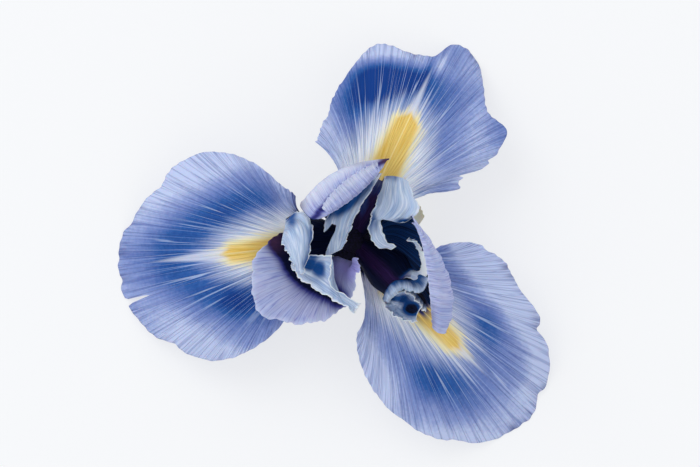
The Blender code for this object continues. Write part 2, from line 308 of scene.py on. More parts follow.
def skin(name, middle, thick, keep=None, split=(), **fields):
    """The closed skin of a leaf or petal, from the grid of points down its middle.

    Each point moves half the thickness to either side along its normal, which is the cross
    product of the grid's two directions, and a rim joins the sides wherever a cell has no
    neighbour. The rows may be split where the petal is, and cells left out where it is torn.
    Each field becomes three numbers that the surface carries; the last of "veins" is set to
    1 on the side that the normals point to and 0 on the other.
    """
    across = np.concatenate([np.gradient(part, axis=0) for part in np.split(middle, split)])
    normal = np.cross(across, np.gradient(middle, axis=1))
    normal /= np.linalg.norm(normal, axis=-1, keepdims=True) + 1e-9
    lift = normal * np.broadcast_to(thick, middle.shape[:2])[..., None] / 2
    number = np.arange(middle[..., 0].size).reshape(middle.shape[:2])
    total = number.size
    cells = np.stack([number[:-1, :-1], number[1:, :-1], number[1:, 1:], number[:-1, 1:]], axis=-1)
    cells = cells.reshape(-1, 4) if keep is None else cells[keep]
    after = np.roll(cells, -1, axis=1)
    alone = ~np.isin(cells * total + after, after * total + cells)
    a, b = cells[alone], after[alone]
    rim = np.stack([b, a, a + total, b + total], axis=-1)
    faces = np.concatenate([cells, cells[:, ::-1] + total, rim])
    used, faces = np.unique(faces, return_inverse=True)
    points = np.concatenate([middle + lift, middle - lift]).reshape(-1, 3)[used]
    mesh = bpy.data.meshes.new(name)
    mesh.from_pydata(points * MM + AXIS, [], faces.reshape(-1, 4))
    for field, values in fields.items():
        values = np.stack(np.broadcast_arrays(*values), axis=-1).astype(np.float32)
        both = np.stack([values, values])
        if field == "veins":
            both[0, ..., 2], both[1, ..., 2] = 1, 0
        mesh.attributes.new(field, "FLOAT_VECTOR", "POINT").data.foreach_set(
            "vector", both.reshape(-1, 3)[used].ravel())
    return mesh


leathery = Finish("spathe_leaf", {
    "Roughness": 0.48, "Subsurface Weight": 0.1, "Subsurface Scale": 0.0008,
})
across, along = leathery.read("veins")[:2]
veins = leathery.node("ShaderNodeCombineXYZ", {0: across, 1: along})
ribs = leathery.noise(veins, (34, 1.2, 1), 2)
fine = leathery.noise(veins, (120, 5, 1), 2)
leaf = leathery.blend(ribs.rise(0.35, 0.65), paint(150, 168, 110), paint(194, 204, 158))
edge = (abs(across) + along * 0.25 + fine * 0.1).rise(0.85, 1.1)
dry = (edge + (along + fine * 0.2).rise(0.6, 1.05)).rise(0, 1)
leaf = leathery.blend(dry, leaf, paint(232, 234, 208))
leaf = leathery.blend((along + fine * 0.08).rise(0.98, 1.05), leaf, paint(224, 220, 184))
spathe_leaf = leathery.surface({
    "Base Color": leaf, "Normal": leathery.bump(ribs + fine * 0.4, 0.12),
})

for name, (azimuth, rings) in SPATHES.items():
    u, v = grid(-1, 91, 81)
    radius, height, cover = through(rings, v).transpose(2, 0, 1)
    turn = np.radians(cover) * u
    radius = radius + 0.12 * np.sin(9 * u + 3 * v) * v
    height = height + 0.25 * np.sin(7 * u) * v * (1 - v)
    thick = SPATHE_THICK * (1 - 0.7 * np.maximum(np.abs(u) ** 4, v**4))
    sheath = around(azimuth, radius * np.cos(turn), radius * np.sin(turn), height)
    put(name + "_leaf", skin(name, sheath, thick, veins=(u, v, 0)), name, spathe_leaf)


# ---------------------------------------------------------------------------------------- The falls
# The three broad outer petals, which arch out of the tube and droop until their tips lie on the
# table. Thin living tissue, periwinkle and veined, with a gold signal inside a white halo.

SEAT = 11.85  # height of the petals' feet
SEAT_RADIUS = 5.0  # and how far out from the axis they stand
FALL_THROAT = 15.0  # how far out the veins start to fan
FALL_BASE = 2.4  # half width of the foot
FALL_SAG = 0.009  # how quickly the blade drops away from its midrib
FALL_THICK = 0.42

# Each fall: the direction it points in; the corners of its blade, in degrees from its midrib; how
# far the blade reaches from the throat, from the first corner to the second; the heights of its
# midrib from foot to tip; the length and half width of its halo; how far out its gold and the
# white streak beyond it go; half the gold's width; how pale the tissue is, from 0 to 1, and how
# much deeper in a band round the halo; the notches in its margin (degrees, half width, depth);
# marks where the tissue is paler, or darker where negative (degrees, half width, distance from
# the throat, half depth, amount); how far out its haft is painted dark, as shade; the marks of
# painted shade in the tunnel under its style arm (x, half width, y, half depth, amount); and the
# bruises on its margin (degrees, half width, depth)
FALLS = {
    "fall_top": dict(
        azimuth=TOP, corners=(-74, 80),
        reach=(
            11, 20.1, 20.4, 27.4, 31.8, 35.2, 34.2, 33.8, 35.8, 39, 40.9, 40.2, 35.4,
            34.1, 34.8, 35.4, 34.5, 31.3, 28.7, 26, 23.6, 21.7, 20.6, 19.6, 18.8,
        ),
        arch=(SEAT, 17.4, 20.8, 19.5, 13, -1),
        halo=(22, 11.4), gold=20.4, streak=31, width=2.6, tone=0.44, band=0.3,
        notches=(
            (-57.8, 1.2, 3.2), (1, 1.6, 1.2), (-52, 1, 1.2), (-33, 3, 0.6), (43, 2.5, 0.5),
            (60, 3, 0.6),
        ),
        marks=(
            (26, 18, 26, 4.4, -0.66), (5, 8, 28, 3.6, -0.25), (46, 16, 21, 4, -0.2),
            (-14, 12, 26, 6, -0.1), (74, 24, 14, 8, 0.42), (-60, 18, 15, 8, 0.6),
            # The first two marks here, dark beside pale by the notch, paint the shade and highlight
            # of a crease
            (1.5, 2, 32.5, 3, -0.4), (-2.5, 1.5, 35, 3, 0.4), (-36, 26, 27, 9, 0.48),
            (-14, 10, 38, 4, 0.14), (60, 18, 20, 4, 0.3), (18, 26, 33.5, 3, 0.6),
            (-40, 18, 35, 6, -0.4), (70, 16, 12, 6, 0.4),
        ),
        haft_shade=14, tunnel_shade=(),
        stains=((-12, 5, 1.2), (10, 4, 1)),
    ),
    "fall_left": dict(
        azimuth=LEFT, corners=(-100, 80),
        reach=(12.6, 16, 24, 31.5, 35.7, 38.2, 42.7, 44.3, 42.8, 38.5, 34.3, 26, 17),
        arch=(SEAT, 17.6, 20.6, 18, 10, -1),
        halo=(20.5, 9.4), gold=18.4, streak=34, width=1.7, tone=0.54, band=0.36,
        notches=((12.3, 0.6, 6.8), (-31, 3, 1.0), (-15, 2.5, 0.6), (33, 3, 0.8), (5, 2, 0.8)),
        marks=(
            (-30, 22, 20, 6.5, -0.16), (40, 22, 19.5, 6.5, -0.2), (-4, 18, 34, 8, -0.1),
            (-62, 32, 33, 9, 0.72), (45, 26, 35, 6.5, 0.46), (-88, 16, 14, 6, 0.5),
            (-30, 20, 38, 5, 0.2),
        ),
        haft_shade=15, tunnel_shade=(),
        stains=((-4.6, 3, 2), (3.4, 2.5, 2), (-20, 2, 1)),
    ),
    "fall_right": dict(
        azimuth=RIGHT, corners=(-81, 84),
        reach=(15.5, 22, 28.4, 35.3, 42, 46.6, 48, 44.8, 39, 31.2, 28, 23, 14.5),
        arch=(SEAT, 17.6, 20.6, 18, 10, -1),
        halo=(26, 8.9), gold=24, streak=31, width=1.5, tone=0.59, band=0.34,
        notches=((27, 2.5, 2.2), (7, 2.5, 1.2), (-24, 3, 0.6), (-40, 3, 0.5), (64, 3, 0.8)),
        marks=(
            (-27, 20, 26, 6, -0.2), (22, 15, 26, 5.5, -0.42), (2, 12, 38, 8, 0.14),
            (-72, 30, 22, 11, 0.85), (-34, 28, 43, 5, 0.3), (48, 30, 31, 11, 0.95),
            (66, 20, 20, 8, 0.4), (8, 20, 44, 6, 0.4),
        ),
        haft_shade=10, tunnel_shade=((14, 5, -7.5, 6, 1.6), (17.5, 2.4, -15.5, 4, 1.5), (8, 2.5, -7, 3, 1)),
        stains=((51.7, 7, 1.6), (30, 4, 1.8), (2, 5, 2), (-6, 2.5, 1.6), (10, 2, 1.2)),
    ),
}


def fan(u, v, azimuth, throat, base, corners, reach):
    """Seen from above, a fanned petal: every vein is a cubic Bezier from the tube to the margin.

    A vein leaves its place on the foot along the petal's azimuth and arrives at the margin along
    the line from the throat, which it meets at its own angle and reach.
    """
    turn = math.radians(azimuth)
    out, left = towards(turn), towards(turn + math.pi / 2)
    length = through(reach, (u + 1) / 2)[..., None]
    way = towards(turn + np.radians(np.interp(u, (-1, 1), corners)))
    start = SEAT_RADIUS * out + np.multiply.outer(base * u, left)
    end = throat + length * way
    leave = start + np.multiply.outer(0.45 * math.hypot(*throat) * (1 - 0.25 * u * u), out)
    leave += np.multiply.outer(base * u * (0.2 + 1.6 * u * u), left)
    arrive = end - 0.45 * length * way
    w = v[..., None]
    return (
        (1 - w) ** 3 * start + 3 * w * (1 - w) ** 2 * leave
        + 3 * w * w * (1 - w) * arrive + w**3 * end
    )


def rest_on(height, floor, blend=1.5):
    """Heights that ease on to a floor along a parabola and never go below it."""
    near = np.clip((height - floor + blend) / (2 * blend), 0, 1)
    return np.where(height > floor + blend, height, floor + blend * near * near)


def bell(x, middle, half):
    """A bell curve: e to the power of minus the square of the distance in half widths."""
    return np.exp(-(((x - middle) / half) ** 2))


def spots(across, along, marks):
    """The sum of round soft marks: each its amount times a bell curve across and along."""
    marks = [
        amount * np.exp(-(((across - at) / half) ** 2) - ((along - far) / deep) ** 2)
        for at, half, far, deep, amount in marks
    ]
    return sum(marks, 0 * across)


def fall(
    name, azimuth, corners, reach, arch, halo, gold, streak, width, tone, band, notches, marks,
    haft_shade, tunnel_shade, stains,
):
    """A fall's mesh: its fan, notched at the margin, over the arch of its midrib.

    The height is the arch at that distance out, less a sag that grows as the square of the
    distance from the midrib, with a channel at the foot and waves that grow towards the margin.
    """
    u, v = grid(-1, 321, 109)
    line = towards(math.radians(azimuth))
    plan = fan(u, v, azimuth, FALL_THROAT * line, FALL_BASE, corners, reach)
    angle = np.interp(u, (-1, 1), corners)
    length = through(reach, (u + 1) / 2)
    cut = sum(depth * bell(angle, at, half) for at, half, depth in notches)
    scallop = 0.14 * np.sin(23 * u + azimuth + 3 * np.sin(5 * u))
    scallop += 0.1 * np.sin(71 * u + 4 * np.sin(7 * u))
    scallop += 0.12 * np.sin(151 * u + azimuth) * np.sin(9 * u + azimuth)
    plan -= (cut * v**7 + scallop * v**12)[..., None] * towards(np.radians(azimuth + angle))

    out, left = plan @ line, plan @ (-line[1], line[0])
    along = (out - SEAT_RADIUS) / (FALL_THROAT + max(reach) - SEAT_RADIUS)
    channel = 0.05 * np.minimum(left * left, 60) * np.clip(1.6 - out / 11, 0, 1)
    waves = 0.8 * v**4 * np.sin(11 * u + azimuth)
    waves += 0.3 * v**7 * np.sin(31 * u + 2 * azimuth + 3 * np.sin(4 * u))
    ripples = 0.1 * v**10 * np.sin(73 * u + 3 * np.sin(9 * u))
    ripples += 0.04 * v * np.sin(120 * u + 4 * np.sin(9 * v))
    hang = through(arch, along) - FALL_SAG * left * left + channel + (waves + ripples)
    height = rest_on(hang, FALL_THICK / 2)

    past = out - FALL_THROAT
    distance, bearing = np.hypot(past, left), np.degrees(np.arctan2(left, past))
    inside = (1 - np.hypot(np.maximum(past, 0) / halo[0], left / halo[1])) * halo[1]
    stripe = (width + 0.06 * np.clip(gold - past, 0, gold)) * np.clip((gold - past) / 3, -9, 1)
    stripe -= np.abs(left) + 1.5 * np.maximum(-1 - past, 0)
    line_width = 1.3 * np.clip((streak - past) / 13, -2, 1) - np.abs(left)
    margin = (1 - v) * (length - cut)
    tone = tone + 0.1 * np.tanh(-inside / 12) + 0.2 * np.exp(-margin / 3)
    tone = tone + spots(bearing, distance, marks) - band * bell(inside, -4.5, 4)
    stain_and_shade = 0.6 * spots(angle, margin, [(at, half, 0, far, 1) for at, half, far in stains])
    stain_and_shade = stain_and_shade + 2 * np.clip((haft_shade - out) / 4, 0, 1)
    stain_and_shade = stain_and_shade + spots(plan[..., 0], plan[..., 1], tunnel_shade)
    return skin(
        name, np.concatenate([plan, height[..., None]], axis=-1),
        FALL_THICK * np.clip(0.35 + margin / 5, 0, 1),
        veins=(u * (corners[1] - corners[0]) / 160, v, 0),
        signal=(inside, stripe, line_width),
        margins=(margin, tone, stain_and_shade),
    )


petal = Finish("fall_tissue", {
    "Roughness": 0.5, "Specular IOR Level": 0.12, "Subsurface Weight": 0.12,
    "Subsurface Scale": 0.0004,
})
across, along = petal.read("veins")[:2]
halo, stripe, streak = petal.read("signal")
margin, tone, stain_and_shade = petal.read("margins")
veins = petal.node("ShaderNodeCombineXYZ", {0: across, 1: along})
broad = petal.noise(petal.place(), (110, 110, 110), 4)
streaks = petal.noise(veins, (30, 2.0, 1), 3)
threads = petal.noise(veins, (110, 5, 1), 2)
white_vein = abs(petal.noise(veins, (44, 0.7, 1), 0) - 0.5).rise(0.024, 0.004)
dark_vein = abs(petal.noise(veins, (30, 1.0, 3), 1) - 0.5).rise(0.03, 0)
twigs = abs(petal.noise(veins, (52, 2.4, 2), 1) - 0.5).rise(0.05, 0) * along.rise(0.35, 0.65)
grain = petal.noise(petal.place(), (1100, 1100, 1100), 2)

tone = tone + (streaks - 0.5) * 0.17 + (threads - 0.5) * 0.17
tone = tone + (broad - 0.5) * 0.34 + (grain - 0.5) * 0.22
# From royal blue to pale periwinkle, then the veins, the white halo and its own blue veins
tissue = petal.node("ShaderNodeValToRGB", {0: tone}, "Color", stops={
    0: paint(0, 58, 136), 1: paint(190, 202, 237), 0.22: paint(44, 92, 164),
    0.5: paint(108, 130, 192), 0.75: paint(146, 162, 213),
})
tissue = petal.blend((dark_vein + twigs * 0.6) * 0.34, tissue, paint(38, 68, 148))
tissue = petal.blend(white_vein * (halo.rise(-14, 1) * 0.5 + 0.06), tissue, paint(206, 220, 248))
feather = halo + (streaks - 0.5) * 4 + (threads - 0.5) * 5
tissue = petal.blend(feather.rise(-2.5, 4.5), tissue, petal.blend(
    threads.rise(0.3, 0.55), paint(206, 220, 243), paint(246, 249, 254)))
halo_vein = (dark_vein + twigs) * feather.rise(-2, 1) * halo.rise(7, 1) * 0.5
tissue = petal.blend(halo_vein, tissue, paint(104, 138, 198))
# The pale yellow flanks of the signal, its gold, the line down its middle, and the white streak
flank = stripe + (streaks - 0.5) * 4.5 + (threads - 0.5) * 3
tissue = petal.blend(flank.rise(-2.8, -0.2) * 0.85, tissue, paint(249, 235, 172))
tissue = petal.blend((stripe + (threads - 0.5) * 2.2).rise(-0.9, 0.6), tissue, petal.blend(
    threads.rise(0.3, 0.7), paint(224, 182, 80), paint(246, 218, 132)))
tissue = petal.blend(streak.rise(1.0, 1.25) * 0.5, tissue, paint(250, 236, 178))
white_streak = streak.rise(-0.5, 0.5) * stripe.rise(1, -0.5) * 0.75
tissue = petal.blend(white_streak, tissue, paint(214, 220, 238))
# The bruises on the margin, then painted shade on the haft and in the tunnel under the style arm
tissue = petal.blend((stain_and_shade * streaks.rise(0.35, 0.6)).rise(0, 1), tissue, paint(44, 54, 122))
tissue = petal.blend(stain_and_shade.rise(0.7, 1.5), tissue, paint(10, 10, 28))
fall_tissue = petal.surface({
    "Base Color": tissue,
    "Roughness": 0.42 + streaks * 0.2,
    "Normal": petal.bump(dark_vein * -0.8 + twigs * -0.4 + streaks * 0.7 + threads * 0.5, 0.09),
})
for name, shape in FALLS.items():
    put(name + "_petal", fall(name, **shape), name, fall_tissue)


# ------------------------------------------------------------------------------------ The standards
# The three inner petals. Two stand up from the tube and lean together over the middle; the third
# has flopped open like a shell. Thinner than the falls and lilac outside; the upright two are
# nearly black-violet inside, painted that dark as the shade of the flower's hollow middle.

STANDARD_THICK = 0.36
WALL_LENGTH = 60  # of an upright standard, along its face from tube to rim

SHELL_AZIMUTH = 251.0
SHELL_THROAT = (-5.5, -2.5)
SHELL_LIMITS = (-93, 93)  # its corners, in degrees from its midrib
SHELL_REACH = (12, 15.8, 19.4, 21.2, 23.6, 21.5, 19.4, 17.3, 14.8, 12.5, 9.3, 8.7, 7)
SHELL_HEIGHTS = (SEAT, 14.6, 18.8, 22.6, 25.5)
SHELL_BASE = 1.8
SHELL_LIFT = 8.5  # how much higher its right lobe stands
SHELL_HOLLOW = (  # the line along which it dips under the crest of the left style arm
    (-18.2, 2), (-16.8, -2.5), (-14.8, -6.6), (-11.4, -9.6), (-7.6, -12), (-4.4, -13.8),
    (-3.4, -14.6),
)
SHELL_SHADES = (  # where it is darker (x, half width, y, half depth, amount)
    (-10, 4.4, -4.5, 5.5, 1.3), (-4.4, 1.4, -8, 6, 0.25), (-18.4, 2.4, -0.6, 2.6, 0.8),
    (-12, 8, -16, 6, 0.18),
)
# Below 0 the flush is painted light: a paler violet that offsets the shade on the right lobe
SHELL_FLUSH = ((-19.4, 2.4, -0.4, 2.4, 0.95), (-1, 4, -7, 4, -0.42))  # plum, or pale violet below 0

# The upright standards: the left and right edge of each from tube to rim, and how far it bulges
# between them; where it sways further (by how much along x and y, centred how far across and how
# far up); how wide a strip of its inner face is pale along the rim, and how much wider at the left
# edge; how dark the rest of that face is painted, as shade; how much lower the rim is at its ends
# than in its middle; the bands of painted shade, paler where the amount is below 0 (how far up,
# half height, amount); and where it is flushed, as the shell is
STANDARDS = {
    "standard_back": dict(
        left=(
            (-4.3, 3.1, SEAT), (-7.6, 6.4, 20), (-10.5, 8.6, 28), (-12.2, 9.6, 36),
            (-12.8, 8.4, 42), (-10.2, 5.4, 46), (-7.3, 5.7, 47.4), (-7.7, 7.1, 48.2),
        ),
        right=(
            (-1.4, 5.1, SEAT), (-2, 9.6, 20), (-1.2, 16, 28), (4.2, 18.9, 35),
            (8.9, 20, 42), (8.6, 19.8, 45.5), (7.5, 18.1, 47.2), (6.2, 19.3, 48.2),
        ),
        bow=(0.3, 1.0, 1.8, 2.6, 3.3, 2.2, -1.3, 1.3),
        sways=((0.5, -0.9, 0.26, 0.62), (-0.4, 0.5, 0.25, 1.0)),
        strip=(9.2, 0), depth=0.8, crown=3,
        shades=((0.73, 0.045, 0.8), (0.88, 0.035, 0.3), (0.97, 0.04, -0.35), (0.55, 0.13, -0.36)),
        flush=((8.6, 2, 19.7, 1.3, 1.1), (-12.6, 1.4, 8.6, 2, 0.5), (1, 5, 19, 1, 0.3)),
    ),
    "standard_side": dict(
        left=(
            (4.6, 2.6, SEAT), (9.4, 6.6, 20), (12.9, 7.4, 29), (14.6, 6.2, 37),
            (15.4, 4.4, 44), (15.3, 4.2, 49), (14.8, 4.2, 50),
        ),
        right=(
            (5.2, -0.9, SEAT), (11.5, -5, 20), (18, -14, 29), (22, -20.6, 37),
            (23.2, -22.9, 44), (21.6, -23.1, 49), (19.9, -21.7, 50),
        ),
        bow=(0.3, 0.8, 2.4, 4.2, 4.6, 2.4, 0.1),
        sways=((0.6, -0.1, 0.68, 0.67), (-0.9, -0.2, 0.3, 0.62), (1.4, 0.3, 0.3, 1.0)),
        strip=(1, 12), depth=1, crown=4,
        shades=((0.85, 0.1, 0.12),),
        flush=((19.6, 1.2, -20, 4, 0.5),),
    ),
}


def between(a, b, bow, t, travel):
    """A point a share t of the way along the circular arc from a to b that bulges by bow.

    The bulge is square to the straight line from a to b and to the direction of travel.
    """
    chord = b - a
    width = np.linalg.norm(chord, axis=-1)
    square = np.cross(travel, chord)
    square /= np.linalg.norm(square, axis=-1, keepdims=True)
    half = 2 * np.arctan2(2 * bow, width)
    half = np.where(np.abs(half) < 1e-4, 1e-4, half)
    turn = half * (2 * t - 1)
    radius = width / (2 * np.sin(half))
    share = 0.5 + radius * np.sin(turn) / width
    lift = radius * (np.cos(turn) - np.cos(half))
    return a + chord * share[..., None] + square * lift[..., None]


def beside(plan, line, reach):
    """1 on a smooth line in plan, falling away from it as a bell curve of the distance."""
    line = through(line, np.linspace(0, 1, 60))
    apart = np.linalg.norm(plan[:, :, None] - line, axis=-1).min(axis=-1)
    return bell(apart, 0, reach)


lilac = Finish("standard_tissue", {
    "Roughness": 0.55, "Specular IOR Level": 0.08, "Subsurface Weight": 0.1,
    "Subsurface Scale": 0.0004,
})
across, along, outer = lilac.read("veins")
margin, painted_light, warm = lilac.read("tones")
inner_shade = lilac.read("inner")[0]
veins = lilac.node("ShaderNodeCombineXYZ", {0: across, 1: along})
broad = lilac.noise(lilac.place(), (160, 160, 160), 3)
streaks = lilac.noise(veins, (26, 1.8, 1), 3)
threads = lilac.noise(veins, (95, 4, 1), 2)
ridge = abs(lilac.noise(veins, (30, 1.4, 1), 1) - 0.5).rise(0.04, 0)
# Lilac with darker ribs and a paler margin, then its pale places, its painted shade down to near
# black, and its flushed places
tissue = lilac.blend(broad.rise(0.3, 0.7), paint(166, 179, 222), paint(190, 196, 229))
tissue = lilac.blend(streaks.rise(0.4, 0.7) * 0.6, tissue, paint(204, 210, 238))
tissue = lilac.blend(ridge * 0.5 + threads.rise(0.6, 0.4) * 0.25, tissue, paint(118, 122, 192))
tissue = lilac.blend((margin + streaks * 2).rise(2.2, 0.8) * 0.6, tissue, paint(206, 216, 243))
shadow = painted_light + (streaks - 0.5) * 0.4
tissue = lilac.blend(shadow.rise(-0.05, -0.6), tissue, paint(222, 227, 242))
tissue = lilac.blend(shadow.rise(0.02, 0.7), tissue, paint(58, 60, 136))
tissue = lilac.blend(shadow.rise(0.55, 1.0), tissue, paint(8, 14, 48))
tissue = lilac.blend(warm, tissue, paint(70, 44, 74))
# Where the flush is below 0, a paler violet painted as light on the shell's shaded right lobe
tissue = lilac.blend(warm.rise(0, -0.5), tissue, paint(176, 168, 246))
# The inner face below the pale strip: dark navy, painted as the shade of the flower's hollow middle
inside = lilac.blend(streaks.rise(0.3, 0.75), paint(4, 14, 40), paint(28, 72, 136))
tissue = lilac.blend(outer.rise(0.4, 0.6) * inner_shade, tissue, inside)
standard_tissue = lilac.surface({
    "Base Color": tissue,
    "Normal": lilac.bump(ridge * -0.5 + streaks * 0.6 + threads * 0.5, 0.09),
})

u, v = grid(-1, 261, 91)
plan = fan(u, v, SHELL_AZIMUTH, SHELL_THROAT, SHELL_BASE, SHELL_LIMITS, SHELL_REACH)
bearing = np.radians(SHELL_AZIMUTH + np.interp(u, (-1, 1), SHELL_LIMITS))
scallop = 0.22 * np.sin(29 * u) + 0.16 * np.sin(61 * u + 1) + 0.12 * np.sin(113 * u)
plan -= (scallop * v**8)[..., None] * towards(bearing)
waves = 0.5 * v**3 * np.sin(13 * u) + 0.3 * v**6 * np.sin(37 * u) + 0.12 * v**8 * np.sin(83 * u)
height = through(SHELL_HEIGHTS, v) + waves + SHELL_LIFT * v**1.3 * np.clip(2.4 * u - 0.9, 0, 1)
margin = (1 - v) * through(SHELL_REACH, (u + 1) / 2)
x, y = plan[..., 0], plan[..., 1]
# Painted shade: darker along the line where it dips under the crest, and at its shade marks
shade = 1.15 * beside(plan, SHELL_HOLLOW, 2.5) + spots(x, y, SHELL_SHADES)
shell = skin(
    "standard_shell", np.concatenate([plan, height[..., None]], axis=-1),
    STANDARD_THICK * np.clip(0.35 + margin / 4, 0, 1),
    veins=(u, v, 0),
    tones=(margin, shade, spots(x, y, SHELL_FLUSH)),
    inner=(0 * u, 0, 0),
)
put("standard_shell_petal", shell, "standard_shell", standard_tissue)

for name, edges in STANDARDS.items():
    u, v = grid(-1, 181, 161)
    left, right = through(edges["left"], v), through(edges["right"], v)
    wall = between(left, right, through(edges["bow"], v), (u + 1) / 2, (0.0, 0.0, 1.0))
    crinkle = v**8 * (0.22 * np.sin(41 * u) + 0.16 * np.sin(67 * u + 2) + 0.1 * np.sin(131 * u))
    wall = wall + crinkle[..., None] * (0.3, -0.5, 0.8)
    for along_x, along_y, place, level in edges["sways"]:
        swell = np.sin(math.pi * ((u + 1) / 2) ** (math.log(0.5) / math.log(place)))
        wall += (swell * bell(v, level, 0.2))[..., None] * (along_x, along_y, 0)
    rounding = edges["crown"] * (np.cos(math.pi / 2 * u) - 1) * v**3
    rounding += 0.5 * v**5 * np.sin(9 * u + 2)
    wall[..., 2] += np.minimum(rounding, 0)
    wall[..., 0] += (0.16 * np.sin(19 * u) + 0.1 * np.sin(43 * u + 1)) * bell(v, 0.66, 0.2)
    margin = WALL_LENGTH * (1 - v)
    shade = sum(amount * bell(v, level, half) for level, half, amount in edges["shades"])
    strip = edges["strip"][0] + edges["strip"][1] * bell(u, -1, 0.3)
    standard = skin(
        name, wall, STANDARD_THICK * np.clip(0.35 + margin / 4, 0, 1),
        veins=(u, v, 0),
        tones=(margin, shade, spots(wall[..., 0], wall[..., 1], edges["flush"])),
        inner=(edges["depth"] * np.clip((margin - strip) / 3, 0, 1), 0, 0),
    )
    put(name + "_petal", standard, name, standard_tissue)


# ----------------------------------------------------------------------------------- The style arms
# Three petal-like arms of the style, one arched over each fall, ending in two ruffled crests that
# fold back over the middle of the flower. Crisp thin tissue, ice blue with near-white margins.

CREST_THICK = 0.3

# The roof, the same on all three: distance out, height of its keel, half width, hang of its sides
ROOF = ((2.7, 14.2, 1.4, 0.3), (7, 19.6, 2.8, 0.8), (11.5, 24.6, 3.8, 1.2), (15.3, 28.4, 4.4, 1.0))
ROOF_TAPER = (1, 1, 1, 0.76)  # what share of its spread is left, from the tube outwards
KEEL_HALF = 1 / 9  # how far the keel's two sides stand from the midrib, as a share of half width
FORK = 1 / 3  # how far along the arm its roof parts into two crests
HALF_ROWS = 49  # points across half an arm
ARM_STEPS = 220  # and steps along it

# The arms: the direction of each; the outer margin and slit side of its anticlockwise crest, and
# the slit side and outer margin of its clockwise one; and how far each crest bulges, roof to tip
STYLE_ARMS = {
    "style_arm_top": (
        TOP,
        (
            (1.5, 16.5, 30), (-2.4, 12.6, 33), (-5, 8.8, 34.5), (-6.6, 4.6, 34.5),
            (-6.9, 1, 33.8), (-6.7, -1.6, 33), (-6.2, -3.9, 32),
        ),
        (
            (7.3, 16.4, 31.5), (5, 12.6, 35), (2.6, 9, 36), (0.9, 5.8, 36),
            (-0.3, 2.8, 35.5), (-1.3, 0.4, 34.5), (-2.2, -2, 33.5),
        ),
        (
            (8.2, 15.8, 31.5), (7, 12.1, 35), (5.8, 9, 36.5), (4.7, 6, 37.5),
            (4.2, 3.2, 38), (5.2, -0.8, 38.5), (9.6, -2.5, 38.5),
        ),
        (
            (13.6, 14.8, 30.5), (14.9, 11.8, 33.5), (16.7, 7.6, 36), (12.8, 4.3, 37),
            (7.6, 5.2, 38), (7.9, 1, 38.8), (10.9, -1.7, 39),
        ),
        ((0.5, -1, -1, -0.8, -0.3), (-0.5, 1.4, 1, 0.3, 0.2)),
    ),
    "style_arm_left": (
        LEFT,
        (
            (-15.2, -6.3, 30), (-14.6, -7.6, 33), (-12.6, -9.9, 35), (-9.5, -11.9, 36),
            (-5.9, -14.2, 36.5), (-2.4, -16.1, 36.3), (0.7, -18.2, 35.8),
        ),
        (
            (-14.5, -2.8, 33), (-11, -3.8, 35.8), (-7, -3.7, 37.8), (-5, -4.6, 38.8),
            (-5.6, -8, 39), (-4.6, -12.2, 38), (2.4, -15.7, 36.6),
        ),
        (
            (-17.3, -1.2, 31), (-17.3, -1, 33.5), (-16.9, -1.4, 35.5), (-16.2, -2.8, 37),
            (-15.3, -4.6, 38), (-14.3, -6.6, 38.6), (-13, -8.4, 38.8),
        ),
        (
            (-16.2, 5, 29.5), (-13.8, 7, 33.5), (-11.2, 6.6, 36.5), (-9.8, 3.6, 38.5),
            (-10, -0.6, 39.5), (-10.9, -4.4, 39.6), (-12.1, -8.6, 39),
        ),
        ((0.5, 1, 2.6, 2.4, 0.4), (-0.5, 0.8, 1.8, 1.2, 0.4)),
    ),
    "style_arm_right": (
        RIGHT,
        (
            (15.4, -7.6, 29.3), (16.8, -7.6, 31.5), (17.4, -6.4, 33.2), (17.2, -4.6, 34.5),
            (16.6, -2.6, 35.5), (15.6, -0.7, 36.5), (14.4, 0.8, 37.5),
        ),
        (
            (13.6, -9.4, 31.5), (16.4, -10.2, 35.5), (18.3, -9.4, 38.6), (18.8, -6.6, 40),
            (18.1, -3.5, 40.3), (16.6, -1, 40), (13.7, 0.1, 39.5),
        ),
        (
            (10.3, -12.6, 31.5), (10.6, -13.4, 33.8), (12.4, -12.9, 35), (14.2, -13.4, 35.2),
            (15.8, -14.8, 34.8), (17.2, -16.6, 34), (18.2, -18, 33.2),
        ),
        (
            (7.6, -14.6, 29), (8, -16, 31.5), (9.3, -17.8, 32.3), (11, -19, 32.5),
            (12.8, -19.8, 32.3), (14.6, -20.2, 32), (16.2, -20.3, 31.6),
        ),
        ((0.5, 0.4, 0.4, 0.4, 0.2), (-0.5, 2.8, 5.6, 5, 3.6)),
    ),
}
